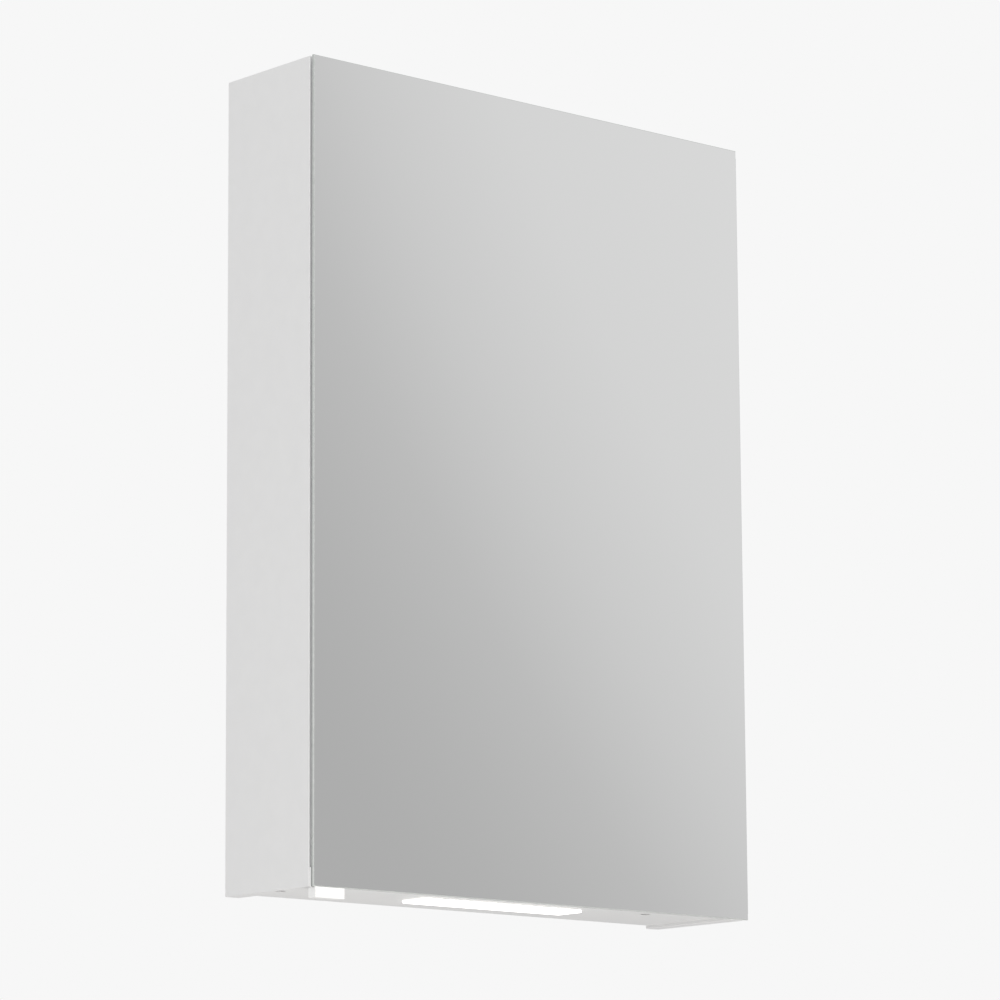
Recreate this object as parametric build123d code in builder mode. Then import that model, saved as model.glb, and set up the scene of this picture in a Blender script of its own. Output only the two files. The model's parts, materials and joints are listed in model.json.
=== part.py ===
from build123d import *
import os

os.makedirs("parts", exist_ok=True)

# A lighted mirror cabinet for a bathroom wall, with one full-overlay mirror door hinged on the right.
# Millimetres, +Z up, +X to the right as seen from the room. The wall is the plane Y = 0 and the room
# is on the -Y side. The origin lies midway between the two wall screws, on the wall.
# A depth below is a distance out from the wall, so depth d is the plane Y = -d.

# Carcass boards
width = 500.0
height = 708.0
carcass_depth = 112.0
board = 15.0
edge_ease = 0.5
bottom_setup = 3.0
screw_drop = 60.0

# Back panel in its grooves
back_thickness = 3.0
back_inset = 16.0
groove_depth = 5.0
groove_play = 0.1
groove_end_play = 0.3

# Play at the bottom of every blind hole
hole_end_play = 0.3

# Dowels in the board joints
dowel_r = 4.0
dowel_in_side = 10.0
dowel_in_end = 20.0
dowel_from_front = 17.0
dowel_from_back_panel = 16.0
dowel_fit = 0.05

# Cam fittings in the board joints
cam_r = 7.5
cam_height = 11.0
cam_from_end = 34.0
cam_from_front = 32.0
cam_fit = 0.1
cam_slot_length = 9.0
cam_slot_width = 1.6
cam_slot_depth = 2.0
bolt_thread_r = 2.5
bolt_thread_length = 10.0
bolt_neck_r = 3.2
bolt_head_r = 3.4
bolt_head_length = 6.0
bolt_fit = 0.1
bolt_bore_r = 4.0
cap_rim = 1.0
cap_thickness = 1.0
cap_chamfer = 0.4

# Wall rail, a folded steel strip
rail_steel = 2.0
rail_foot = 15.0
rail_rise = 12.0
rail_lip_height = 12.0
rail_lip_out = 7.0
rail_end_gap = 3.0
wall_screw_spacing = 300.0
wall_screw_hole_r = 2.75

# Hangers in the top corners and their hooks
hanger_width = 16.0
hanger_length = 62.0
hanger_height = 50.0
hanger_top_gap = 2.0
hook_thickness = 3.0
hook_play = 0.3
hook_slot_play = 0.2
hook_slot_end_play = 4.0
hook_tip = 2.8
hook_tip_drop = 10.0
hook_over_lip = 10.0
hook_below_lip = 20.0
hook_reach_in = 22.0
adjuster_r = 3.0
adjuster_length = 16.0
adjuster_spacing = 22.0
adjuster_fit = 0.05
driver_slot = 1.0
hanger_screw_r = 2.0
hanger_screw_head_r = 4.0
hanger_screw_head = 2.5
hanger_screw_in_board = 10.0
hanger_screw_from_front = 9.0
hanger_screw_from_hook = 11.0
hanger_screw_fit = 0.05
cover_wall = 1.2
cover_play = 0.3

# Glass shelves on pins
shelf_count = 3
shelf_thickness = 5.0
shelf_front_gap = 12.0
shelf_back_gap = 1.0
shelf_end_gap = 1.0
shelf_ease = 0.6
pin_r = 2.5
pin_in_board = 8.0
pin_out = 9.0
pin_collar_r = 3.2
pin_collar = 1.5
pin_fit = 0.05
pin_from_shelf_edge = 16.0
pin_hole_pitch = 32.0
pin_holes_each = 3
sleeve_wall = 1.2
sleeve_fit = 0.05

# Mirror door
pane_thickness = 3.0
pane_arris = 0.7
door_gap = 3.0
film_thickness = 0.4
rear_pane_thickness = 2.0
rear_pane_set_in = 3.0
bumper_r = 5.0
bumper_play = 0.1
bumper_from_end = 40.0

# Finger grip under the door's free corner
grip_width = 31.0
grip_from_edge = 2.0
grip_drop = 9.0
grip_foot_depth = 9.0
grip_tab_height = 16.0
grip_tab = 1.8
grip_tape_thickness = 0.8
grip_tab_from_edge = 0.4
grip_board_play = 0.4
grip_round = 0.8

# Magnetic catch
catch_width = 18.0
catch_length = 20.0
catch_height = 40.0
magnet_width = 7.0
magnet_length = 12.0
magnet_height = 28.0
magnet_fit = 0.1
strike_thickness = 0.8
strike_width = 10.0
strike_height = 38.0
strike_gap = 0.3

# Continuous hinge in the gap behind the mirror's right edge
leaf_thickness = 0.8
leaf_tape = 0.2
leaf_width = 12.5
leaf_from_knuckle = 0.5
knuckle_r = 1.8
knuckle_out = 1.5
knuckle_count = 25
knuckle_gap = 0.3
hinge_pin_r = 0.95
hinge_pin_running_fit = 0.05
hinge_pin_press_fit = 0.01
hinge_end_gap = 6.0
hinge_screw_count = 8
hinge_screw_r = 1.5
hinge_screw_head_r = 2.6
hinge_screw_length = 16.0
hinge_screw_fit = 0.05

# Lamp let into the underside
lamp_length = 180.0
lamp_width = 30.0
lamp_proud = 2.0
lamp_body = 8.0
lamp_depth = 57.0
lamp_wall = 1.2
diffuser_wall = 1.2
lamp_fit = 0.3
led_strip_width = 10.0
led_strip_thickness = 1.0
led_strip_end_gap = 4.0
led_count = 24
led_length = 3.5
led_width = 2.8
led_height = 0.7
lamp_screw_r = 1.5
lamp_screw_head_r = 2.8
lamp_screw_head = 1.4
lamp_screw_in_board = 3.0
lamp_screw_from_end = 15.0
lamp_screw_row = 9.0
lamp_screw_fit = 0.05

# Electric parts between the back panel and the wall
driver_length = 110.0
driver_height = 26.0
driver_depth = 12.0
driver_x = 60.0
driver_above_bottom = 30.0
driver_round = 1.5
lead_from_lamp_end = 20.0
lead_r = 1.5
lead_play = 0.3
lead_bore_r = 2.5
lead_notch = 14.0
lead_depth = 7.0
lead_bend = 9.0
lead_turn = 15.0
lead_rise = 4.5
sensor_from_board = 74.0
sensor_depth = 78.0
sensor_r = 6.0
sensor_body_height = 11.0
sensor_fit = 0.1
sensor_lens_r = 4.6
sensor_lens = 0.8
sensor_lens_fit = 0.1
sensor_lens_set_in = 0.4
box_length = 60.0
box_height = 30.0
box_wall = 1.5
box_x = -65.0
box_lid = 1.5
inlet_r = 3.75
terminal_poles = 3
terminal_pitch = 8.0
terminal_width = 16.0
terminal_height = 8.0
terminal_hole_r = 1.6
supply_lead_r = 3.0

# Plug in the lower end of the left board
plug_r = 4.5
plug_from_side = 6.0
plug_depth = 67.0
plug_hole = 6.0
plug_fit = 0.1
plug_set_in = 0.6
plug_chamfer = 0.4

# Places worked out from the sizes above
top_z = screw_drop
bottom_z = top_z - height
middle_z = (top_z + bottom_z) / 2
plug_x = -(width / 2 - plug_from_side)
inner_x = width / 2 - board
sensor_x = inner_x - sensor_from_board
inside_top = top_z - board
underside_z = bottom_z + bottom_setup
inside_bottom = underside_z + board
inside_height = inside_top - inside_bottom
inside_middle = (inside_top + inside_bottom) / 2
back_front = back_inset + back_thickness
groove_width = back_thickness + 2 * groove_play
cam_depth = carcass_depth - cam_from_front
dowel_depths = (back_front + dowel_from_back_panel, carcass_depth - dowel_from_front)
joint_zs = (underside_z + board / 2, top_z - board / 2)
pane_back = carcass_depth + door_gap
front = pane_back + pane_thickness
film_back = pane_back - film_thickness
rear_pane_back = film_back - rear_pane_thickness
rear_pane_width = 2 * (inner_x - rear_pane_set_in)
rear_pane_height = inside_height - 2 * rear_pane_set_in


def inner_plane(side, into=0.0):
    """Inner face of a side board, facing into the cabinet; local Y is up."""
    return Plane(origin=(side * (inner_x - into), 0, 0), x_dir=(0, -side, 0), z_dir=(-side, 0, 0))


def on_side(side, depth, z):
    """A place on inner_plane, by its depth from the wall and its height."""
    return (side * depth, z)


def inside_face(way):
    """Inner face of the bottom board for way 1, or of the top board for way -1."""
    face_z = inside_bottom if way > 0 else inside_top
    return Plane(origin=(0, 0, face_z), x_dir=(1, 0, 0), z_dir=(0, 0, way))


def on_face(way, x, depth):
    """A place on inside_face, by its X and its depth from the wall."""
    return (x, -way * depth)


def from_wall(depth):
    """Plane at a depth from the wall, facing the room; local X is X and local Y is Z."""
    return Plane.XZ.offset(depth)


# Shelves in even bays between the bottom and the top board, and the two rows of pins under them
shelf_back = back_front + shelf_back_gap
shelf_depth = carcass_depth - shelf_front_gap - shelf_back
pin_rows = (shelf_back + pin_from_shelf_edge, shelf_back + shelf_depth - pin_from_shelf_edge)
sleeve_half = pin_r + sleeve_fit + sleeve_wall
shelf_zs = [inside_bottom + inside_height * (i + 1) / (shelf_count + 1) for i in range(shelf_count)]
pin_zs = [z - shelf_thickness / 2 - sleeve_half for z in shelf_zs]

# Hanger, hook and rail heights
lip_top = rail_rise + rail_lip_height
hook_x = inner_x - hanger_width / 2
hanger_top = inside_top - hanger_top_gap
hanger_mid = hanger_top - hanger_height / 2
hanger_front = back_front + hanger_length
cover_front = hanger_front + cover_play + cover_wall
hook_top = lip_top + hook_over_lip
hook_bottom = lip_top - hook_below_lip
hook_inner_end = back_front + hook_reach_in
hanger_screw_depths = (hook_inner_end + hanger_screw_from_hook, hanger_front - hanger_screw_from_front)
hook_front = rail_lip_out + hook_play
hook_back = rail_lip_out - rail_steel - hook_play

# Hinge line and knuckles
hinge_x = width / 2 + knuckle_out
hinge_depth = carcass_depth + door_gap / 2
leaf_outer_x = hinge_x - knuckle_r - leaf_from_knuckle
door_leaf_front = pane_back - leaf_tape
door_leaf_back = door_leaf_front - leaf_thickness
hinge_length = height - 2 * hinge_end_gap
knuckle_pitch = hinge_length / knuckle_count
knuckle_bottom = bottom_z + hinge_end_gap
leaf_x = leaf_outer_x - leaf_width / 2
hinge_screw_pitch = hinge_length / hinge_screw_count

# Lamp heights, its screws and its lead
lamp_face_z = underside_z - lamp_proud
lamp_screw_spacing = lamp_length - 2 * lamp_screw_from_end
lamp_lead_x = lamp_length / 2 - lead_from_lamp_end
lamp_roof_z = underside_z + lamp_body
lead_z = underside_z + lead_rise
led_strip_z = lamp_roof_z - lamp_wall - led_strip_thickness

# Driver and terminal box heights
electric_z = inside_bottom + driver_above_bottom + driver_height / 2
driver_bottom = electric_z - driver_height / 2

# Catch
catch_z = (shelf_zs[0] + shelf_zs[1]) / 2
strike_back = rear_pane_back - strike_thickness
catch_front = strike_back - strike_gap
catch_x = -(inner_x - catch_width / 2)


# Side boards: lacquered boards with a groove for the back panel, holes for the shelf pins, and the
# seats of the joint fittings
for side, name in ((-1, "left_side_board"), (1, "right_side_board")):
    with BuildPart() as side_board:
        with BuildSketch(Plane.XY.offset(bottom_z)):
            with Locations((side * (width - board) / 2, -carcass_depth / 2)):
                Rectangle(board, carcass_depth)
        extrude(amount=height)
        chamfer(side_board.edges(), edge_ease)
        with BuildSketch(inner_plane(side)):
            with Locations(on_side(side, back_inset + back_thickness / 2, inside_middle)):
                Rectangle(groove_width, inside_height + 2 * groove_depth)
        extrude(amount=-groove_depth, mode=Mode.SUBTRACT)
        with BuildSketch(inner_plane(side)):
            for pin_z in pin_zs:
                for depth in pin_rows:
                    with Locations(on_side(side, depth, pin_z)):
                        with GridLocations(1, pin_hole_pitch, 1, pin_holes_each):
                            Circle(pin_r + pin_fit)
        extrude(amount=-(pin_in_board + hole_end_play), mode=Mode.SUBTRACT)
        for z in joint_zs:
            with BuildSketch(inner_plane(side)):
                for depth in dowel_depths:
                    with Locations(on_side(side, depth, z)):
                        Circle(dowel_r)
            extrude(amount=-dowel_in_side, mode=Mode.SUBTRACT)
            with BuildSketch(inner_plane(side)):
                with Locations(on_side(side, cam_depth, z)):
                    Circle(bolt_thread_r)
            extrude(amount=-(bolt_thread_length + hole_end_play), mode=Mode.SUBTRACT)
        with BuildSketch(inner_plane(side)):
            for depth in hanger_screw_depths:
                with Locations(on_side(side, depth, hanger_mid)):
                    Circle(hanger_screw_r)
        extrude(amount=-hanger_screw_in_board, mode=Mode.SUBTRACT)
        if side < 0:
            with BuildSketch(Plane.XY.offset(bottom_z)):
                with Locations((plug_x, -plug_depth)):
                    Circle(plug_r)
            extrude(amount=plug_hole, mode=Mode.SUBTRACT)
        else:
            with BuildSketch(from_wall(carcass_depth)):
                with Locations((leaf_x, middle_z)):
                    with GridLocations(1, hinge_screw_pitch, 1, hinge_screw_count):
                        Circle(hinge_screw_r)
            extrude(amount=-hinge_screw_length, mode=Mode.SUBTRACT)
    side_board.part.label = name
    export_step(side_board.part, f"parts/{name}.step")

# Plug that closes the hole in the left board's lower end
with BuildPart() as edge_plug:
    with BuildSketch(Plane.XY.offset(bottom_z + plug_set_in)):
        with Locations((plug_x, -plug_depth)):
            Circle(plug_r - plug_fit)
    extrude(amount=plug_hole - plug_set_in - plug_fit)
    chamfer(edge_plug.faces().sort_by(Axis.Z)[0].edges(), plug_chamfer)
edge_plug.part.label = "edge_plug"
export_step(edge_plug.part, "parts/edge_plug.step")


# Top and bottom boards between the side boards. The bottom board is set up above the ends of the
# side boards, and it has the pocket of the lamp, the hole of the touch-free switch and the bores of
# their leads
for name, way, board_z in (("top_board", -1, inside_top), ("bottom_board", 1, underside_z)):
    with BuildPart() as cross_board:
        with BuildSketch(Plane.XY.offset(board_z)):
            with Locations((0, -carcass_depth / 2)):
                Rectangle(2 * inner_x, carcass_depth)
        extrude(amount=board)
        chamfer(cross_board.edges().filter_by(Axis.X), edge_ease)
        for side in (-1, 1):
            with BuildSketch(inner_plane(side)):
                for depth in dowel_depths:
                    with Locations(on_side(side, depth, board_z + board / 2)):
                        Circle(dowel_r)
            extrude(amount=dowel_in_end, mode=Mode.SUBTRACT)
            with BuildSketch(inner_plane(side)):
                with Locations(on_side(side, cam_depth, board_z + board / 2)):
                    Circle(bolt_bore_r)
            extrude(amount=cam_from_end, mode=Mode.SUBTRACT)
            with BuildSketch(inside_face(way)):
                with Locations(on_face(way, side * (inner_x - cam_from_end), cam_depth)):
                    Circle(cam_r)
            extrude(amount=-(cam_height + cam_fit), mode=Mode.SUBTRACT)
        with BuildSketch(inside_face(way)):
            with Locations(on_face(way, 0, back_inset + back_thickness / 2)):
                Rectangle(2 * inner_x, groove_width)
        extrude(amount=-groove_depth, mode=Mode.SUBTRACT)
        if way > 0:
            with BuildSketch(Plane.XY.offset(underside_z)):
                with Locations((0, -lamp_depth)):
                    Rectangle(lamp_length + 2 * lamp_fit, lamp_width + 2 * lamp_fit)
            extrude(amount=lamp_body, mode=Mode.SUBTRACT)
            with BuildSketch(Plane.XY.offset(lamp_roof_z)):
                with Locations((0, -(lamp_depth + lamp_screw_row))):
                    with GridLocations(lamp_screw_spacing, 1, 2, 1):
                        Circle(lamp_screw_r)
            extrude(amount=lamp_screw_in_board, mode=Mode.SUBTRACT)
            with BuildSketch(Plane.XY.offset(underside_z)):
                with Locations((sensor_x, -sensor_depth)):
                    Circle(sensor_r + sensor_fit)
            extrude(amount=sensor_body_height, mode=Mode.SUBTRACT)
            for lead_x, bore_end in ((lamp_lead_x, lamp_depth), (sensor_x, sensor_depth)):
                with BuildSketch(from_wall(0)):
                    with Locations((lead_x, lead_z)):
                        Circle(lead_bore_r)
                extrude(amount=bore_end, mode=Mode.SUBTRACT)
                with BuildSketch(Plane.XY.offset(lead_z)):
                    with Locations((lead_x, -lead_notch / 2)):
                        Rectangle(2 * lead_bore_r, lead_notch)
                extrude(amount=board, mode=Mode.SUBTRACT)
    cross_board.part.label = name
    export_step(cross_board.part, f"parts/{name}.step")

# Back panel, held in the grooves of all four boards, with a slot for each hanger's hook
with BuildPart() as back_panel:
    with BuildSketch(from_wall(back_inset)):
        with Locations((0, inside_middle)):
            Rectangle(
                2 * (inner_x + groove_depth - groove_end_play),
                inside_height + 2 * (groove_depth - groove_end_play),
            )
        with Locations((-hook_x, (hook_top + hook_bottom) / 2), (hook_x, (hook_top + hook_bottom) / 2)):
            Rectangle(
                hook_thickness + 2 * hook_play,
                hook_top - hook_bottom + 2 * hook_slot_end_play,
                mode=Mode.SUBTRACT,
            )
    extrude(amount=back_thickness)
back_panel.part.label = "back_panel"
export_step(back_panel.part, "parts/back_panel.step")

# Dowels of the four board joints
with BuildPart() as dowels:
    for side in (-1, 1):
        for z in joint_zs:
            with BuildSketch(inner_plane(side, -(dowel_in_side - hole_end_play))):
                for depth in dowel_depths:
                    with Locations(on_side(side, depth, z)):
                        Circle(dowel_r - dowel_fit)
            extrude(amount=dowel_in_side + dowel_in_end - 2 * hole_end_play)
dowels.part.label = "dowels"
export_step(dowels.part, "parts/dowels.step")

# Bolts of the cam fittings: a thread in the side board, a neck in the board's end and a head in the cam
with BuildPart() as cam_bolts:
    for side in (-1, 1):
        for z in joint_zs:
            with BuildSketch(inner_plane(side, -bolt_thread_length)):
                with Locations(on_side(side, cam_depth, z)):
                    Circle(bolt_thread_r - bolt_fit)
            extrude(amount=bolt_thread_length)
            with BuildSketch(inner_plane(side)):
                with Locations(on_side(side, cam_depth, z)):
                    Circle(bolt_neck_r - bolt_fit)
            extrude(amount=cam_from_end - bolt_head_length / 2)
            with BuildSketch(inner_plane(side, cam_from_end - bolt_head_length / 2)):
                with Locations(on_side(side, cam_depth, z)):
                    Circle(bolt_head_r)
            extrude(amount=bolt_head_length)
cam_bolts.part.label = "cam_bolts"
export_step(cam_bolts.part, "parts/cam_bolts.step")

# Cams, open towards the bolt that each one draws in, with a driver slot on the inside face
with BuildPart() as cams:
    for way, z in zip((1, -1), joint_zs):
        for side in (-1, 1):
            cam_x = side * (inner_x - cam_from_end)
            with BuildSketch(inside_face(way).offset(-cam_height)):
                with Locations(on_face(way, cam_x, cam_depth)):
                    Circle(cam_r - cam_fit)
            extrude(amount=cam_height)
            with BuildSketch(inner_plane(side, cam_from_end - cam_r)):
                with Locations(on_side(side, cam_depth, z)):
                    Circle(bolt_head_r + bolt_fit)
            extrude(amount=cam_r + bolt_head_length / 2 + bolt_fit, mode=Mode.SUBTRACT)
            with BuildSketch(inside_face(way)):
                with Locations(on_face(way, cam_x, cam_depth)):
                    Rectangle(cam_slot_width, cam_slot_length)
            extrude(amount=-cam_slot_depth, mode=Mode.SUBTRACT)
cams.part.label = "cams"
export_step(cams.part, "parts/cams.step")

# Flat caps that cover the cams
with BuildPart() as cam_caps:
    for way in (-1, 1):
        with BuildSketch(inside_face(way)):
            for side in (-1, 1):
                with Locations(on_face(way, side * (inner_x - cam_from_end), cam_depth)):
                    Circle(cam_r + cap_rim)
        extrude(amount=cap_thickness)
    chamfer(cam_caps.edges().filter_by(GeomType.CIRCLE).group_by(Axis.Z)[-1], cap_chamfer)
cam_caps.part.label = "cam_caps"
export_step(cam_caps.part, "parts/cam_caps.step")

# Wall rail: a foot screwed to the wall and a lip that stands off it, over which the hooks drop
with BuildPart() as wall_rail:
    with BuildSketch(Plane.YZ):
        with BuildLine():
            Polyline(
                (0, -rail_foot),
                (0, rail_rise),
                (-(rail_lip_out - rail_steel), rail_rise),
                (-(rail_lip_out - rail_steel), lip_top),
                (-rail_lip_out, lip_top),
                (-rail_lip_out, rail_rise - rail_steel),
                (-rail_steel, rail_rise - rail_steel),
                (-rail_steel, -rail_foot),
                close=True,
            )
        make_face()
    extrude(amount=inner_x - rail_end_gap, both=True)
    with BuildSketch(from_wall(0)):
        with GridLocations(wall_screw_spacing, 1, 2, 1):
            Circle(wall_screw_hole_r)
    extrude(amount=rail_steel, mode=Mode.SUBTRACT)
wall_rail.part.label = "wall_rail"
export_step(wall_rail.part, "parts/wall_rail.step")

# Hangers: a die-cast body in each top corner, its hook through the back panel, and a snap-on cover
for side, word in ((-1, "left"), (1, "right")):
    hanger_plane = inner_plane(side)
    with BuildPart() as hanger_body:
        with BuildSketch(hanger_plane):
            with Locations(on_side(side, back_front + hanger_length / 2, hanger_mid)):
                Rectangle(hanger_length, hanger_height)
        extrude(amount=hanger_width)
        chamfer(hanger_body.edges().filter_by(Axis.X), edge_ease)
        with BuildSketch(inner_plane(side, hanger_width / 2)):
            with Locations(on_side(side, back_front + hook_reach_in / 2, (hook_top + hook_bottom) / 2)):
                Rectangle(hook_reach_in + 2 * hook_play, hook_top - hook_bottom + 2 * hook_slot_end_play)
        extrude(amount=hook_thickness / 2 + hook_slot_play, both=True, mode=Mode.SUBTRACT)
        with BuildSketch(from_wall(hanger_front)):
            with Locations((side * hook_x, hanger_mid)):
                with GridLocations(1, adjuster_spacing, 1, 2):
                    Circle(adjuster_r + adjuster_fit)
        extrude(amount=-adjuster_length, mode=Mode.SUBTRACT)
        with BuildSketch(inner_plane(side, hanger_width)):
            for depth in hanger_screw_depths:
                with Locations(on_side(side, depth, hanger_mid)):
                    Circle(hanger_screw_head_r + hanger_screw_fit)
        extrude(amount=-hanger_screw_head, mode=Mode.SUBTRACT)
        with BuildSketch(inner_plane(side, hanger_width)):
            for depth in hanger_screw_depths:
                with Locations(on_side(side, depth, hanger_mid)):
                    Circle(hanger_screw_r + hanger_screw_fit)
        extrude(amount=-hanger_width, mode=Mode.SUBTRACT)
    hanger_body.part.label = f"hanger_body_{word}"
    export_step(hanger_body.part, f"parts/hanger_body_{word}.step")

    with BuildPart() as hanger_hook:
        with BuildSketch(Plane.YZ.offset(side * hook_x)):
            with BuildLine():
                Polyline(
                    (-hook_inner_end, hook_bottom),
                    (-hook_front, hook_bottom),
                    (-hook_front, lip_top),
                    (-hook_back, lip_top),
                    (-hook_back, lip_top - hook_tip_drop),
                    (-(hook_back - hook_tip), lip_top - hook_tip_drop),
                    (-(hook_back - hook_tip), hook_top),
                    (-hook_inner_end, hook_top),
                    close=True,
                )
            make_face()
        extrude(amount=hook_thickness / 2, both=True)
    hanger_hook.part.label = f"hanger_hook_{word}"
    export_step(hanger_hook.part, f"parts/hanger_hook_{word}.step")

    with BuildPart() as hanger_cover:
        with BuildSketch(hanger_plane):
            with Locations(on_side(side, (back_front + cover_front) / 2, hanger_mid)):
                Rectangle(cover_front - back_front, hanger_height + 2 * (cover_play + cover_wall))
        extrude(amount=hanger_width + cover_play + cover_wall)
        chamfer(hanger_cover.edges().filter_by(Axis.X), edge_ease)
        with BuildSketch(hanger_plane):
            with Locations(on_side(side, (back_front + cover_front - cover_wall) / 2, hanger_mid)):
                Rectangle(cover_front - cover_wall - back_front, hanger_height + 2 * cover_play)
        extrude(amount=hanger_width + cover_play, mode=Mode.SUBTRACT)
    hanger_cover.part.label = f"hanger_cover_{word}"
    export_step(hanger_cover.part, f"parts/hanger_cover_{word}.step")

# Adjusting screws in the hangers' front faces, each with a driver slot
with BuildPart() as hanger_adjusters:
    for side in (-1, 1):
        with BuildSketch(from_wall(hanger_front)):
            with Locations((side * hook_x, hanger_mid)):
                with GridLocations(1, adjuster_spacing, 1, 2):
                    Circle(adjuster_r)
        extrude(amount=-adjuster_length)
        with BuildSketch(from_wall(hanger_front)):
            with Locations((side * hook_x, hanger_mid)):
                with GridLocations(1, adjuster_spacing, 1, 2):
                    Rectangle(2 * adjuster_r, driver_slot)
        extrude(amount=-driver_slot, mode=Mode.SUBTRACT)
hanger_adjusters.part.label = "hanger_adjusters"
export_step(hanger_adjusters.part, "parts/hanger_adjusters.step")

# Screws that hold the hangers to the side boards
with BuildPart() as hanger_screws:
    for side in (-1, 1):
        with BuildSketch(inner_plane(side, hanger_width)):
            for depth in hanger_screw_depths:
                with Locations(on_side(side, depth, hanger_mid)):
                    Circle(hanger_screw_head_r)
        extrude(amount=-hanger_screw_head)
        with BuildSketch(inner_plane(side, hanger_width - hanger_screw_head)):
            for depth in hanger_screw_depths:
                with Locations(on_side(side, depth, hanger_mid)):
                    Circle(hanger_screw_r - hanger_screw_fit)
        extrude(amount=-(hanger_width - hanger_screw_head + hanger_screw_in_board))
        with BuildSketch(inner_plane(side, hanger_width)):
            for depth in hanger_screw_depths:
                with Locations(on_side(side, depth, hanger_mid)):
                    Rectangle(hanger_screw_head_r, driver_slot)
        extrude(amount=-driver_slot, mode=Mode.SUBTRACT)
hanger_screws.part.label = "hanger_screws"
export_step(hanger_screws.part, "parts/hanger_screws.step")

# Glass shelves, with their edges eased
for number, shelf_z in enumerate(shelf_zs):
    with BuildPart() as glass_shelf:
        with BuildSketch(Plane.XY.offset(shelf_z - shelf_thickness / 2)):
            with Locations((0, -(shelf_back + shelf_depth / 2))):
                Rectangle(2 * (inner_x - shelf_end_gap), shelf_depth)
        extrude(amount=shelf_thickness)
        chamfer(glass_shelf.edges(), shelf_ease)
    glass_shelf.part.label = f"glass_shelf_{number + 1}"
    export_step(glass_shelf.part, f"parts/glass_shelf_{number + 1}.step")

# Metal pins in the side boards under the shelves
with BuildPart() as shelf_pins:
    for side in (-1, 1):
        pin_places = [on_side(side, depth, z) for z in pin_zs for depth in pin_rows]
        with BuildSketch(inner_plane(side, -pin_in_board)):
            with Locations(*pin_places):
                Circle(pin_r)
        extrude(amount=pin_in_board + pin_out)
        with BuildSketch(inner_plane(side)):
            with Locations(*pin_places):
                Circle(pin_collar_r)
        extrude(amount=pin_collar)
shelf_pins.part.label = "shelf_pins"
export_step(shelf_pins.part, "parts/shelf_pins.step")

# Clear sleeves on the pins, flat on top where the glass lies
with BuildPart() as shelf_sleeves:
    for side in (-1, 1):
        pin_places = [on_side(side, depth, z) for z in pin_zs for depth in pin_rows]
        with BuildSketch(inner_plane(side, pin_collar)):
            with Locations(*pin_places):
                RectangleRounded(2 * sleeve_half, 2 * sleeve_half, sleeve_wall)
                Circle(pin_r + sleeve_fit, mode=Mode.SUBTRACT)
        extrude(amount=pin_out - pin_collar)
shelf_sleeves.part.label = "shelf_sleeves"
export_step(shelf_sleeves.part, "parts/shelf_sleeves.step")

# Front mirror pane over the whole front, with a ground arris all round
with BuildPart() as front_pane:
    with BuildSketch(from_wall(pane_back)):
        with Locations((0, middle_z)):
            Rectangle(width, height)
    extrude(amount=pane_thickness)
    chamfer(front_pane.faces().sort_by(Axis.Y)[0].edges(), pane_arris)
    chamfer(front_pane.faces().sort_by(Axis.Y)[-1].edges(), pane_arris / 2)
front_pane.part.label = "front_mirror_pane"
export_step(front_pane.part, "parts/front_mirror_pane.step")

# Bonding film between the two panes
with BuildPart() as bond_film:
    with BuildSketch(from_wall(film_back)):
        with Locations((0, inside_middle)):
            Rectangle(rear_pane_width, rear_pane_height)
    extrude(amount=film_thickness)
bond_film.part.label = "bond_film"
export_step(bond_film.part, "parts/bond_film.step")

# Rear mirror pane, smaller, facing into the cabinet
with BuildPart() as rear_pane:
    with BuildSketch(from_wall(rear_pane_back)):
        with Locations((0, inside_middle)):
            Rectangle(rear_pane_width, rear_pane_height)
    extrude(amount=rear_pane_thickness)
    chamfer(rear_pane.faces().sort_by(Axis.Y)[-1].edges(), pane_arris)
rear_pane.part.label = "rear_mirror_pane"
export_step(rear_pane.part, "parts/rear_mirror_pane.step")

# Finger grip: a tab taped behind the mirror's free lower corner and a foot that hangs below it
grip_left = -width / 2 + grip_from_edge
grip_tab_left = -width / 2 + grip_tab_from_edge
grip_tab_width = grip_left + grip_width - grip_tab_left
grip_tab_front = pane_back - grip_tape_thickness
with BuildPart() as finger_grip:
    with BuildSketch(from_wall(grip_tab_front)):
        with Locations((grip_tab_left, bottom_z - grip_board_play)):
            Rectangle(grip_tab_width, grip_tab_height + grip_board_play, align=(Align.MIN, Align.MIN))
    extrude(amount=-grip_tab)
    with BuildSketch(from_wall(front - grip_foot_depth)):
        with Locations((grip_left, bottom_z - grip_drop)):
            Rectangle(grip_width, grip_drop - grip_board_play, align=(Align.MIN, Align.MIN))
    extrude(amount=grip_foot_depth)
    with BuildSketch(from_wall(pane_back)):
        with Locations((grip_left, bottom_z - grip_board_play)):
            Rectangle(grip_width, grip_board_play, align=(Align.MIN, Align.MIN))
    extrude(amount=pane_thickness)
    fillet(finger_grip.faces().sort_by(Axis.Z)[0].edges(), grip_round)
finger_grip.part.label = "finger_grip"
export_step(finger_grip.part, "parts/finger_grip.step")

# Dark foam tape between the grip's tab and the mirror
with BuildPart() as grip_tape:
    with BuildSketch(from_wall(grip_tab_front)):
        with Locations((grip_tab_left, bottom_z)):
            Rectangle(grip_tab_width, grip_tab_height, align=(Align.MIN, Align.MIN))
    extrude(amount=grip_tape_thickness)
grip_tape.part.label = "grip_tape"
export_step(grip_tape.part, "parts/grip_tape.step")

# Clear bumpers on the left board's front edge, which the closed door rests on
with BuildPart() as door_bumpers:
    with BuildSketch(from_wall(carcass_depth)):
        with Locations(
            (-(width - board) / 2, top_z - bumper_from_end),
            (-(width - board) / 2, bottom_z + bumper_from_end),
        ):
            Circle(bumper_r)
    extrude(amount=door_gap - bumper_play)
door_bumpers.part.label = "door_bumpers"
export_step(door_bumpers.part, "parts/door_bumpers.step")

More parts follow.
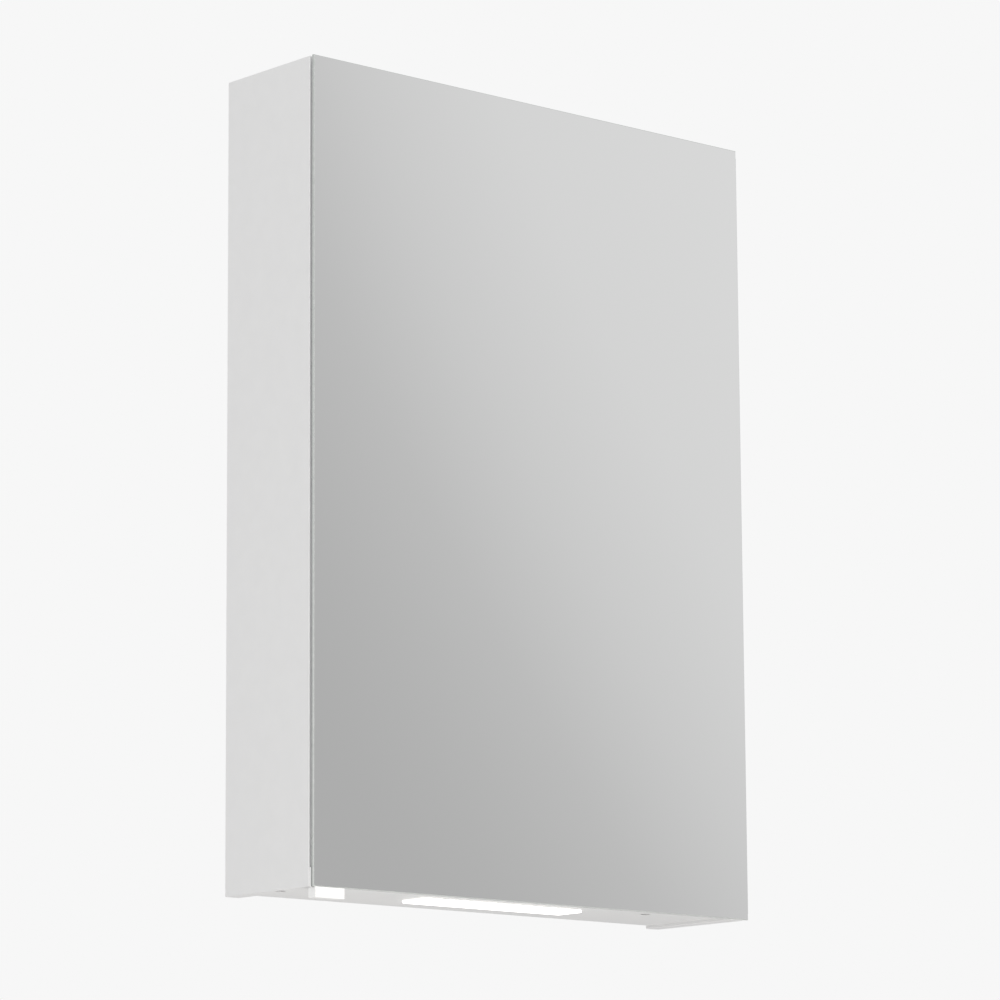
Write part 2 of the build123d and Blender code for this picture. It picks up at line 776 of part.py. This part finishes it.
# Magnetic catch on the left board, its magnet, and the steel strike glued to the rear pane
with BuildPart() as catch_body:
    with BuildSketch(from_wall(catch_front - catch_length)):
        with Locations((catch_x, catch_z)):
            Rectangle(catch_width, catch_height)
    extrude(amount=catch_length)
    chamfer(catch_body.edges().filter_by(Axis.Y), edge_ease)
    with BuildSketch(from_wall(catch_front)):
        with Locations((catch_x, catch_z)):
            Rectangle(magnet_width + 2 * magnet_fit, magnet_height + 2 * magnet_fit)
    extrude(amount=-magnet_length, mode=Mode.SUBTRACT)
catch_body.part.label = "catch_body"
export_step(catch_body.part, "parts/catch_body.step")

with BuildPart() as catch_magnet:
    with BuildSketch(from_wall(catch_front)):
        with Locations((catch_x, catch_z)):
            Rectangle(magnet_width, magnet_height)
    extrude(amount=-magnet_length)
catch_magnet.part.label = "catch_magnet"
export_step(catch_magnet.part, "parts/catch_magnet.step")

with BuildPart() as catch_strike:
    with BuildSketch(from_wall(strike_back)):
        with Locations((catch_x, catch_z)):
            RectangleRounded(strike_width, strike_height, pane_arris)
    extrude(amount=strike_thickness)
catch_strike.part.label = "catch_strike"
export_step(catch_strike.part, "parts/catch_strike.step")


def knuckle_spans(first):
    """Bottom and length of every second knuckle, from the lowest one or the one above it."""
    return [
        (knuckle_bottom + i * knuckle_pitch + knuckle_gap / 2, knuckle_pitch - knuckle_gap)
        for i in range(first, knuckle_count, 2)
    ]


# The two hinge leaves. One is screwed to the right board's front edge and has the end knuckles, and
# the other is bonded to the back of the mirror. A short strap joins each knuckle to its plate
for name, first, leaf_depth, bore_r in (
    ("hinge_leaf_board", 0, carcass_depth, hinge_pin_r + hinge_pin_press_fit),
    ("hinge_leaf_door", 1, door_leaf_back, hinge_pin_r + hinge_pin_running_fit),
):
    with BuildPart() as hinge_leaf:
        with BuildSketch(from_wall(leaf_depth)):
            with Locations((leaf_x, middle_z)):
                Rectangle(leaf_width, hinge_length)
        extrude(amount=leaf_thickness)
        for knuckle_z, length in knuckle_spans(first):
            with BuildSketch(Plane.XY.offset(knuckle_z)):
                with Locations((hinge_x, -hinge_depth)):
                    Circle(knuckle_r)
                with Locations(((leaf_outer_x + hinge_x) / 2, -(leaf_depth + leaf_thickness / 2))):
                    Rectangle(hinge_x - leaf_outer_x, leaf_thickness)
            extrude(amount=length)
        with BuildSketch(Plane.XY.offset(knuckle_bottom)):
            with Locations((hinge_x, -hinge_depth)):
                Circle(bore_r)
        extrude(amount=hinge_length, mode=Mode.SUBTRACT)
        if first == 0:
            with BuildSketch(from_wall(carcass_depth)):
                with Locations((leaf_x, middle_z)):
                    with GridLocations(1, hinge_screw_pitch, 1, hinge_screw_count):
                        Circle(hinge_screw_head_r + hinge_screw_fit)
            extrude(amount=leaf_thickness, mode=Mode.SUBTRACT)
    hinge_leaf.part.label = name
    export_step(hinge_leaf.part, f"parts/{name}.step")

# Bonding tape between that leaf and the mirror
with BuildPart() as hinge_tape:
    with BuildSketch(from_wall(door_leaf_front)):
        with Locations((leaf_x, middle_z)):
            Rectangle(leaf_width, hinge_length)
    extrude(amount=leaf_tape)
hinge_tape.part.label = "hinge_tape"
export_step(hinge_tape.part, "parts/hinge_tape.step")

# Hinge pin through all the knuckles
with BuildPart() as hinge_pin:
    with BuildSketch(Plane.XY.offset(knuckle_bottom)):
        with Locations((hinge_x, -hinge_depth)):
            Circle(hinge_pin_r)
    extrude(amount=hinge_length)
hinge_pin.part.label = "hinge_pin"
export_step(hinge_pin.part, "parts/hinge_pin.step")

# Screws of the board leaf, their flat heads let into it
with BuildPart() as hinge_screws:
    with BuildSketch(from_wall(carcass_depth)):
        with Locations((leaf_x, middle_z)):
            with GridLocations(1, hinge_screw_pitch, 1, hinge_screw_count):
                Circle(hinge_screw_head_r)
    extrude(amount=leaf_thickness)
    with BuildSketch(from_wall(carcass_depth)):
        with Locations((leaf_x, middle_z)):
            with GridLocations(1, hinge_screw_pitch, 1, hinge_screw_count):
                Circle(hinge_screw_r - hinge_screw_fit)
    extrude(amount=-hinge_screw_length)
hinge_screws.part.label = "hinge_screws"
export_step(hinge_screws.part, "parts/hinge_screws.step")

# Lamp housing: a white tray, open downwards, in the bottom board's pocket
with BuildPart() as lamp_housing:
    with BuildSketch(Plane.XY.offset(underside_z)):
        with Locations((0, -lamp_depth)):
            Rectangle(lamp_length, lamp_width)
    extrude(amount=lamp_body)
    with BuildSketch(Plane.XY.offset(underside_z)):
        with Locations((0, -lamp_depth)):
            Rectangle(lamp_length - 2 * lamp_wall, lamp_width - 2 * lamp_wall)
    extrude(amount=lamp_body - lamp_wall, mode=Mode.SUBTRACT)
    with BuildSketch(Plane.XY.offset(underside_z)):
        with Locations((0, -(lamp_depth + lamp_screw_row))):
            with GridLocations(lamp_screw_spacing, 1, 2, 1):
                Circle(lamp_screw_r + lamp_screw_fit)
    extrude(amount=lamp_body, mode=Mode.SUBTRACT)
    with BuildSketch(from_wall(lamp_depth)):
        with Locations((lamp_lead_x, lead_z)):
            Circle(lead_r + lead_play)
    extrude(amount=-lamp_width, mode=Mode.SUBTRACT)
lamp_housing.part.label = "lamp_housing"
export_step(lamp_housing.part, "parts/lamp_housing.step")

# Opal diffuser that stands proud of the underside
with BuildPart() as lamp_diffuser:
    with BuildSketch(Plane.XY.offset(lamp_face_z)):
        with Locations((0, -lamp_depth)):
            Rectangle(lamp_length, lamp_width)
    extrude(amount=lamp_proud)
    chamfer(lamp_diffuser.faces().sort_by(Axis.Z)[0].edges(), edge_ease)
    with BuildSketch(Plane.XY.offset(underside_z)):
        with Locations((0, -lamp_depth)):
            Rectangle(lamp_length - 2 * diffuser_wall, lamp_width - 2 * diffuser_wall)
    extrude(amount=-(lamp_proud - diffuser_wall), mode=Mode.SUBTRACT)
lamp_diffuser.part.label = "lamp_diffuser"
export_step(lamp_diffuser.part, "parts/lamp_diffuser.step")

# Light strip under the housing's roof, and its chips
led_strip_length = lamp_length - 2 * (lamp_wall + led_strip_end_gap)
with BuildPart() as led_strip:
    with BuildSketch(Plane.XY.offset(led_strip_z)):
        with Locations((0, -lamp_depth)):
            Rectangle(led_strip_length, led_strip_width)
    extrude(amount=led_strip_thickness)
led_strip.part.label = "led_strip"
export_step(led_strip.part, "parts/led_strip.step")

with BuildPart() as led_chips:
    with BuildSketch(Plane.XY.offset(led_strip_z)):
        with Locations((0, -lamp_depth)):
            with GridLocations(led_strip_length / led_count, 1, led_count, 1):
                Rectangle(led_length, led_width)
    extrude(amount=-led_height)
led_chips.part.label = "led_chips"
export_step(led_chips.part, "parts/led_chips.step")

# Screws that hold the lamp housing up in its pocket
with BuildPart() as lamp_screws:
    with BuildSketch(Plane.XY.offset(lamp_roof_z - lamp_wall)):
        with Locations((0, -(lamp_depth + lamp_screw_row))):
            with GridLocations(lamp_screw_spacing, 1, 2, 1):
                Circle(lamp_screw_head_r)
    extrude(amount=-lamp_screw_head)
    with BuildSketch(Plane.XY.offset(lamp_roof_z - lamp_wall)):
        with Locations((0, -(lamp_depth + lamp_screw_row))):
            with GridLocations(lamp_screw_spacing, 1, 2, 1):
                Circle(lamp_screw_r - lamp_screw_fit)
    extrude(amount=lamp_wall + lamp_screw_in_board)
lamp_screws.part.label = "lamp_screws"
export_step(lamp_screws.part, "parts/lamp_screws.step")

# Touch-free switch in the underside: its body and the dark lens in it
with BuildPart() as sensor_body:
    with BuildSketch(Plane.XY.offset(underside_z)):
        with Locations((sensor_x, -sensor_depth)):
            Circle(sensor_r)
    extrude(amount=sensor_body_height)
    with BuildSketch(Plane.XY.offset(underside_z)):
        with Locations((sensor_x, -sensor_depth)):
            Circle(sensor_lens_r + sensor_lens_fit)
    extrude(amount=sensor_lens_set_in + sensor_lens, mode=Mode.SUBTRACT)
sensor_body.part.label = "sensor_body"
export_step(sensor_body.part, "parts/sensor_body.step")

with BuildPart() as sensor_lens_disc:
    with BuildSketch(Plane.XY.offset(underside_z + sensor_lens_set_in)):
        with Locations((sensor_x, -sensor_depth)):
            Circle(sensor_lens_r)
    extrude(amount=sensor_lens)
sensor_lens_disc.part.label = "sensor_lens"
export_step(sensor_lens_disc.part, "parts/sensor_lens.step")

# Lamp driver, stuck to the back panel's rear face
with BuildPart() as lamp_driver:
    with BuildSketch(from_wall(back_inset - driver_depth)):
        with Locations((driver_x, electric_z)):
            Rectangle(driver_length, driver_height)
    extrude(amount=driver_depth)
    fillet(lamp_driver.edges().filter_by(Axis.Y), driver_round)
lamp_driver.part.label = "lamp_driver"
export_step(lamp_driver.part, "parts/lamp_driver.step")

# Terminal box beside it, open towards the wall, with the inlet for the house cable in its left wall
with BuildPart() as terminal_box:
    with BuildSketch(from_wall(back_inset - driver_depth)):
        with Locations((box_x, electric_z)):
            Rectangle(box_length, box_height)
    extrude(amount=driver_depth)
    with BuildSketch(from_wall(back_inset - driver_depth)):
        with Locations((box_x, electric_z)):
            Rectangle(box_length - 2 * box_wall, box_height - 2 * box_wall)
    extrude(amount=driver_depth - box_wall, mode=Mode.SUBTRACT)
    with BuildSketch(Plane.YZ.offset(box_x - box_length / 2)):
        with Locations((-(back_inset - driver_depth / 2), electric_z)):
            Circle(inlet_r)
    extrude(amount=box_wall, mode=Mode.SUBTRACT)
terminal_box.part.label = "terminal_box"
export_step(terminal_box.part, "parts/terminal_box.step")

with BuildPart() as terminal_lid:
    with BuildSketch(from_wall(back_inset - driver_depth)):
        with Locations((box_x, electric_z)):
            Rectangle(box_length, box_height)
    extrude(amount=-box_lid)
    chamfer(terminal_lid.faces().sort_by(Axis.Y)[-1].edges(), edge_ease)
terminal_lid.part.label = "terminal_lid"
export_step(terminal_lid.part, "parts/terminal_lid.step")

# Terminal block in the box, with a wire hole for each pole
block_length = terminal_poles * terminal_pitch
block_x = box_x + box_length / 2 - box_wall - terminal_width / 2
with BuildPart() as terminal_block:
    with BuildSketch(from_wall(back_inset - box_wall)):
        with Locations((block_x, electric_z)):
            Rectangle(terminal_width, block_length)
    extrude(amount=-terminal_height)
    with BuildSketch(Plane.YZ.offset(block_x - terminal_width / 2)):
        with Locations((-(back_inset - box_wall - terminal_height / 2), electric_z)):
            with GridLocations(1, terminal_pitch, 1, terminal_poles):
                Circle(terminal_hole_r)
    extrude(amount=terminal_width, mode=Mode.SUBTRACT)
terminal_block.part.label = "terminal_block"
export_step(terminal_block.part, "parts/terminal_block.step")

# Lead from the terminal box to the driver
box_right = box_x + box_length / 2
driver_left = driver_x - driver_length / 2
with BuildPart() as supply_lead:
    with BuildSketch(Plane.YZ.offset(box_right)):
        with Locations((-(back_inset - driver_depth / 2), electric_z)):
            Circle(supply_lead_r)
    extrude(amount=driver_left - box_right)
supply_lead.part.label = "supply_lead"
export_step(supply_lead.part, "parts/supply_lead.step")

# Lead from the driver down behind the bottom board and forward through its bore to the lamp
lamp_lead_end = lamp_depth - led_strip_width / 2 - hole_end_play
with BuildPart() as lamp_lead:
    with BuildLine():
        lamp_route = FilletPolyline(
            (lamp_lead_x, -lead_depth, driver_bottom),
            (lamp_lead_x, -lead_depth, lead_z),
            (lamp_lead_x, -lamp_lead_end, lead_z),
            radius=lead_bend,
        )
    with BuildSketch(Plane(origin=lamp_route @ 0, z_dir=lamp_route % 0)):
        Circle(lead_r)
    sweep()
lamp_lead.part.label = "lamp_lead"
export_step(lamp_lead.part, "parts/lamp_lead.step")

# Lead from the driver's right end down and forward to the touch-free switch
driver_right = driver_x + driver_length / 2
with BuildPart() as sensor_lead:
    with BuildLine():
        sensor_route = FilletPolyline(
            (driver_right, -lead_depth, electric_z),
            (sensor_x, -lead_depth, electric_z),
            (sensor_x, -lead_depth, lead_z),
            (sensor_x, -(sensor_depth - sensor_r), lead_z),
            radius=[lead_turn, lead_bend],
        )
    with BuildSketch(Plane(origin=sensor_route @ 0, z_dir=sensor_route % 0)):
        Circle(lead_r)
    sweep()
sensor_lead.part.label = "sensor_lead"
export_step(sensor_lead.part, "parts/sensor_lead.step")

print("cabinet top and bottom", top_z, bottom_z, "front", front, "hinge line", hinge_x, -hinge_depth)
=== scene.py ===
import json
import math

import bpy
from mathutils import Matrix, Vector


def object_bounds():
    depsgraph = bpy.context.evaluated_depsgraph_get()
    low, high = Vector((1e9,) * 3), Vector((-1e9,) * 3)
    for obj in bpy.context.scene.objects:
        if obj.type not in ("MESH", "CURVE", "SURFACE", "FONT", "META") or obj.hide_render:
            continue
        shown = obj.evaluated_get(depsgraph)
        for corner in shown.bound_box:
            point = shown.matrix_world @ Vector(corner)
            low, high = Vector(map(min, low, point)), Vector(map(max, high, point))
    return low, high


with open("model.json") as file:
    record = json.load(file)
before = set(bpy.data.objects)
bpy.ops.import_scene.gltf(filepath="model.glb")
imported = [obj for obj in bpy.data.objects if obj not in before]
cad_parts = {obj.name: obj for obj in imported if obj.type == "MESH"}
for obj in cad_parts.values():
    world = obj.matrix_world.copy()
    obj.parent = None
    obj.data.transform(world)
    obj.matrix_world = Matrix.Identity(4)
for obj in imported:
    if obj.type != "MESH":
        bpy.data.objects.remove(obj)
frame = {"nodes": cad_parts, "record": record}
cad_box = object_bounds()
nodes = frame["nodes"]

# The cabinet's middle, in metres
cabinet_middle = (Vector(cad_box[0]) + Vector(cad_box[1])) / 2

# How deep the height of a finish's grain goes, in metres
grain_depth = 0.0001

# The camera, solved from the cabinet's corners in the photograph
camera_place = (-2.6299, -3.0448, -1.0252)
camera_azimuth = math.radians(41.476)
camera_rise = math.radians(10.502)
camera_roll = math.radians(-0.378)
camera_lens = 165.4
film_width = 36.0
camera_nearest = 0.05
camera_farthest = 60.0

# Light levels
room_light = 0.76
backdrop_level = 0.93
floor_height = -3.6
floor_size = 76.0
key_power = 38.0
key_place = (-3.1, -2.3, 1.2)
key_size = 2.6
key_tint = (1.0, 1.0, 1.0)
plain_white = (1.0, 1.0, 1.0, 1.0)
fill_power = 27.0
fill_place = (-0.4, -1.5, -1.6)
fill_size = 1.4
fill_tint = (1.0, 0.97, 0.93)
fill_aim = Vector((0, 0, 1))

# What the mirror sees: darker low on the left, lighter high on the right, as places and levels
gradient_start = 0.68
gradient_end = 0.82
gradient_rise = 0.5
gradient_levels = ((0.0, 0.455), (0.16, 0.465), (0.36, 0.55), (0.5, 0.65), (0.66, 0.725), (1.0, 0.775))


def new_material(name):
    """A material with an empty node tree, and the nodes and links to build it with."""
    material = bpy.data.materials.new(name)
    material.use_nodes = True
    tree = material.node_tree
    tree.nodes.clear()
    return material, tree.nodes, tree.links


def grain(tree_nodes, links, scale, stretch, detail):
    """Noise over the piece's own coordinates, stretched to run with its grain."""
    place = tree_nodes.new("ShaderNodeTexCoord")
    run = tree_nodes.new("ShaderNodeMapping")
    run.inputs["Scale"].default_value = stretch
    noise = tree_nodes.new("ShaderNodeTexNoise")
    noise.inputs["Scale"].default_value = scale
    noise.inputs["Detail"].default_value = detail
    links.new(place.outputs["Object"], run.inputs["Vector"])
    links.new(run.outputs["Vector"], noise.inputs["Vector"])
    return noise.outputs["Fac"]


def two_tone(tree_nodes, links, pattern, light, dark, spread=(0.3, 0.7)):
    """Colour that wanders between two close shades along a pattern."""
    ramp = tree_nodes.new("ShaderNodeValToRGB")
    ramp.color_ramp.elements[0].position = spread[0]
    ramp.color_ramp.elements[1].position = spread[1]
    ramp.color_ramp.elements[0].color = (*dark, 1.0)
    ramp.color_ramp.elements[1].color = (*light, 1.0)
    links.new(pattern, ramp.inputs["Fac"])
    return ramp.outputs["Color"]


def between(tree_nodes, links, pattern, low, high):
    """A number that follows a pattern from low to high."""
    span = tree_nodes.new("ShaderNodeMapRange")
    span.inputs["To Min"].default_value = low
    span.inputs["To Max"].default_value = high
    links.new(pattern, span.inputs["Value"])
    return span.outputs["Result"]


def surface(
    name, light, dark, scale, rough, stretch=(1, 1, 1), detail=4.0, metal=0.0, bump=0.0,
    coat=0.0, transmission=0.0, ior=1.5, glow=0.0, specular=0.5,
):
    """A finish with a grain of its own in colour, gloss and height."""
    material, tree_nodes, links = new_material(name)
    shader = tree_nodes.new("ShaderNodeBsdfPrincipled")
    out = tree_nodes.new("ShaderNodeOutputMaterial")
    pattern = grain(tree_nodes, links, scale, stretch, detail)
    colour = two_tone(tree_nodes, links, pattern, light, dark)
    links.new(colour, shader.inputs["Base Color"])
    links.new(between(tree_nodes, links, pattern, *rough), shader.inputs["Roughness"])
    shader.inputs["Metallic"].default_value = metal
    shader.inputs["Coat Weight"].default_value = coat
    shader.inputs["Transmission Weight"].default_value = transmission
    shader.inputs["IOR"].default_value = ior
    shader.inputs["Specular IOR Level"].default_value = specular
    if glow:
        links.new(colour, shader.inputs["Emission Color"])
        shader.inputs["Emission Strength"].default_value = glow
    if bump:
        height = tree_nodes.new("ShaderNodeBump")
        height.inputs["Strength"].default_value = bump
        height.inputs["Distance"].default_value = grain_depth
        links.new(pattern, height.inputs["Height"])
        links.new(height.outputs["Normal"], shader.inputs["Normal"])
    links.new(shader.outputs["BSDF"], out.inputs["Surface"])
    return material


# Finishes, one for each material of the cabinet, and a lighter copy of the white plastic, with painted
# light, for the grip
white_lacquer = surface(
    "white lacquered board", (0.815, 0.815, 0.815), (0.8, 0.8, 0.8), 60.0, (0.36, 0.44),
    detail=6.0, bump=0.12,
)
panel_foil = surface(
    "white foil on fibreboard", (0.76, 0.76, 0.755), (0.73, 0.73, 0.725), 110.0, (0.45, 0.55),
    detail=5.0, bump=0.1,
)
beech = surface(
    "turned beech", (0.6, 0.42, 0.25), (0.45, 0.29, 0.16), 70.0, (0.55, 0.7), stretch=(0.1, 1, 1),
    detail=8.0, bump=0.3,
)
silvering = surface(
    "silvered float glass", (0.907, 0.909, 0.907), (0.9, 0.903, 0.9), 2.2, (0.008, 0.016), metal=1.0,
)
ground_edge = surface(
    "ground edge of the mirror glass", (0.545, 0.56, 0.55), (0.475, 0.5, 0.485), 240.0, (0.14, 0.24),
    detail=4.0, coat=0.5,
)
mirror_paint = surface(
    "grey paint behind the silvering", (0.36, 0.37, 0.38), (0.32, 0.33, 0.34), 90.0, (0.45, 0.55),
)
shelf_glass = surface(
    "clear shelf glass", (0.93, 0.98, 0.96), (0.88, 0.96, 0.93), 3.0, (0.01, 0.025), transmission=1.0,
    ior=1.52,
)
film = surface(
    "bonding film", (0.62, 0.62, 0.61), (0.55, 0.55, 0.54), 150.0, (0.4, 0.6),
)
foam_tape = surface(
    "white foam tape", (0.75, 0.75, 0.74), (0.68, 0.68, 0.67), 900.0, (0.7, 0.85), bump=0.5,
)
dark_foam = surface(
    "dark foam tape", (0.09, 0.088, 0.085), (0.06, 0.058, 0.056), 900.0, (0.75, 0.9), bump=0.5,
)
white_moulding = surface(
    "white moulded plastic", (0.84, 0.84, 0.835), (0.81, 0.81, 0.805), 420.0, (0.36, 0.48), bump=0.18,
)
# A lighter copy of the white moulded plastic: painted light that brightens the grip as if it were lit
# strongly from the front
grip_painted_lit = surface(
    "white grip with painted light", (0.93, 0.93, 0.925), (0.9, 0.9, 0.895), 420.0, (0.3, 0.4), bump=0.1,
)
dark_moulding = surface(
    "dark moulded plastic", (0.05, 0.05, 0.055), (0.035, 0.035, 0.04), 380.0, (0.22, 0.34), coat=0.3,
)
opal = surface(
    "lit opal acrylic", (1.0, 0.985, 0.95), (0.98, 0.96, 0.92), 12.0, (0.3, 0.4), glow=2.6,
)
strip_coat = surface(
    "white light strip", (0.82, 0.82, 0.8), (0.76, 0.76, 0.74), 300.0, (0.3, 0.45),
)
chip = surface(
    "lit chip", (1.0, 0.86, 0.5), (0.95, 0.78, 0.4), 700.0, (0.2, 0.3), glow=1.0,
)
clear_elastomer = surface(
    "clear soft elastomer", (0.86, 0.88, 0.88), (0.8, 0.82, 0.82), 300.0, (0.16, 0.28),
    transmission=0.7, ior=1.42,
)
white_sheath = surface(
    "white cable sheath", (0.78, 0.78, 0.77), (0.72, 0.72, 0.71), 260.0, (0.4, 0.52), bump=0.1,
)
zinc_plate = surface(
    "zinc plated steel", (0.66, 0.67, 0.69), (0.52, 0.53, 0.56), 55.0, (0.26, 0.44), metal=1.0, detail=8.0,
)
drawn_steel = surface(
    "drawn stainless steel", (0.7, 0.7, 0.69), (0.6, 0.6, 0.6), 300.0, (0.18, 0.32), metal=1.0,
    stretch=(1, 1, 0.05),
)
die_casting = surface(
    "nickel coated casting", (0.55, 0.56, 0.57), (0.45, 0.46, 0.47), 260.0, (0.34, 0.5), metal=0.9,
    bump=0.3,
)
anodised = surface(
    "satin anodised aluminium", (0.78, 0.78, 0.785), (0.71, 0.71, 0.72), 420.0, (0.26, 0.36), metal=1.0,
    stretch=(1, 1, 0.03),
)
magnet_plate = surface(
    "nickel plated magnet", (0.42, 0.42, 0.43), (0.34, 0.34, 0.35), 160.0, (0.25, 0.4), metal=1.0,
)

finish_of_slot = {
    "white_board": white_lacquer,
    "white_panel": panel_foil,
    "beech": beech,
    "mirror_glass": silvering,
    "clear_glass": shelf_glass,
    "bond_film": film,
    "white_tape": foam_tape,
    "dark_tape": dark_foam,
    "white_plastic": white_moulding,
    "dark_plastic": dark_moulding,
    "opal_diffuser": opal,
    "led_board": strip_coat,
    "led_chip": chip,
    "clear_rubber": clear_elastomer,
    "white_lead": white_sheath,
    "zinc_steel": zinc_plate,
    "bright_steel": drawn_steel,
    "zinc_casting": die_casting,
    "satin_aluminium": anodised,
    "magnet": magnet_plate,
}


def paint(obj, *finishes):
    """Give an object these finishes, the first of them on every face."""
    obj.data.materials.clear()
    for one in finishes:
        obj.data.materials.append(one)
    for face in obj.data.polygons:
        face.material_index = 0


for part in frame["record"]["subparts"]:
    paint(nodes[part["node"]], finish_of_slot[part["material_slot"]])
# The finger grip gets the lighter copy of the white plastic, which carries painted light on its faces
paint(nodes["finger_grip"], grip_painted_lit)


# How far a face's normal has to point along Y to be one of the pane's flat faces
square_on = 0.95

# Which of a pane's finishes each kind of face gets; the ground edge comes first, on all others
silvered_face = 1
painted_face = 2


def paint_mirror(name, silvered_way):
    """Silvering on the face that looks silvered_way along Y, paint behind, and a ground edge."""
    pane = nodes[name]
    paint(pane, ground_edge, silvering, mirror_paint)
    for face in pane.data.polygons:
        facing = face.normal.y * silvered_way
        if facing > square_on:
            face.material_index = silvered_face
        elif facing < -square_on:
            face.material_index = painted_face


paint_mirror("front_mirror_pane", -1)
paint_mirror("rear_mirror_pane", 1)


# The floor, far below, and the world around
bpy.ops.mesh.primitive_plane_add(size=floor_size, location=(0, 0, floor_height))
floor = bpy.context.active_object
floor.name = "floor"
paint(floor, surface("pale floor", (0.7, 0.7, 0.7), (0.685, 0.685, 0.685), 0.7, (0.75, 0.85)))


def soft_room():
    """A pale room: one even level for soft light, a plain backdrop, and a slow gradient in the mirror."""
    world = bpy.data.worlds.new("soft room")
    bpy.context.scene.world = world
    world.use_nodes = True
    tree = world.node_tree
    tree.nodes.clear()
    links = tree.links
    place = tree.nodes.new("ShaderNodeTexCoord")
    split = tree.nodes.new("ShaderNodeSeparateXYZ")
    lift = tree.nodes.new("ShaderNodeMath")
    lift.operation = "MULTIPLY_ADD"
    lift.inputs[1].default_value = gradient_rise
    links.new(place.outputs["Generated"], split.inputs["Vector"])
    links.new(split.outputs["Z"], lift.inputs[0])
    links.new(split.outputs["X"], lift.inputs[2])
    reach = tree.nodes.new("ShaderNodeMapRange")
    reach.inputs["From Min"].default_value = gradient_start
    reach.inputs["From Max"].default_value = gradient_end
    links.new(lift.outputs["Value"], reach.inputs["Value"])
    ramp = tree.nodes.new("ShaderNodeValToRGB")
    ramp.color_ramp.interpolation = "B_SPLINE"
    for position, level in gradient_levels[1:-1]:
        ramp.color_ramp.elements.new(position)
    for element, (position, level) in zip(ramp.color_ramp.elements, gradient_levels):
        element.position = position
        element.color = (level, level, level, 1.0)
    links.new(reach.outputs["Result"], ramp.inputs["Fac"])

    rays = tree.nodes.new("ShaderNodeLightPath")
    seen = tree.nodes.new("ShaderNodeMath")
    seen.operation = "MAXIMUM"
    links.new(rays.outputs["Is Camera Ray"], seen.inputs[0])
    links.new(rays.outputs["Is Transmission Ray"], seen.inputs[1])
    soft = tree.nodes.new("ShaderNodeBackground")
    soft.inputs["Color"].default_value = plain_white
    soft.inputs["Strength"].default_value = room_light
    mirrored = tree.nodes.new("ShaderNodeBackground")
    links.new(ramp.outputs["Color"], mirrored.inputs["Color"])
    backdrop = tree.nodes.new("ShaderNodeBackground")
    backdrop.inputs["Color"].default_value = plain_white
    backdrop.inputs["Strength"].default_value = backdrop_level
    glossy_mix = tree.nodes.new("ShaderNodeMixShader")
    seen_mix = tree.nodes.new("ShaderNodeMixShader")
    out = tree.nodes.new("ShaderNodeOutputWorld")
    links.new(rays.outputs["Is Glossy Ray"], glossy_mix.inputs["Fac"])
    links.new(soft.outputs["Background"], glossy_mix.inputs[1])
    links.new(mirrored.outputs["Background"], glossy_mix.inputs[2])
    links.new(seen.outputs["Value"], seen_mix.inputs["Fac"])
    links.new(glossy_mix.outputs["Shader"], seen_mix.inputs[1])
    links.new(backdrop.outputs["Background"], seen_mix.inputs[2])
    links.new(seen_mix.outputs["Shader"], out.inputs["Surface"])


soft_room()


def soft_lamp(name, place, power, size, tint, aim):
    """A large square lamp that faces the way of aim."""
    data = bpy.data.lights.new(name, "AREA")
    data.energy = power
    data.size = size
    data.color = tint
    lamp = bpy.data.objects.new(name, data)
    bpy.context.scene.collection.objects.link(lamp)
    lamp.location = place
    lamp.rotation_euler = aim.to_track_quat("-Z", "Y").to_euler()
    lamp.visible_camera = False
    lamp.visible_glossy = False


soft_lamp("key lamp", key_place, key_power, key_size, key_tint, cabinet_middle - Vector(key_place))
# The fill lamp faces straight up, so that it leaves no bright patch on the floor for the mirror
soft_lamp("fill lamp", fill_place, fill_power, fill_size, fill_tint, fill_aim)

# The camera
camera_data = bpy.data.cameras.new("photo camera")
camera_data.sensor_width = film_width
camera_data.lens = camera_lens
camera_data.clip_start = camera_nearest
camera_data.clip_end = camera_farthest
camera = bpy.data.objects.new("photo camera", camera_data)
bpy.context.scene.collection.objects.link(camera)
facing = Matrix.Rotation(-camera_azimuth, 4, "Z") @ Matrix.Rotation(math.pi / 2 + camera_rise, 4, "X")
facing = facing @ Matrix.Rotation(camera_roll, 4, "Z")
camera.matrix_world = Matrix.Translation(camera_place) @ facing
bpy.context.scene.camera = camera
bpy.context.scene.view_settings.view_transform = "Standard"
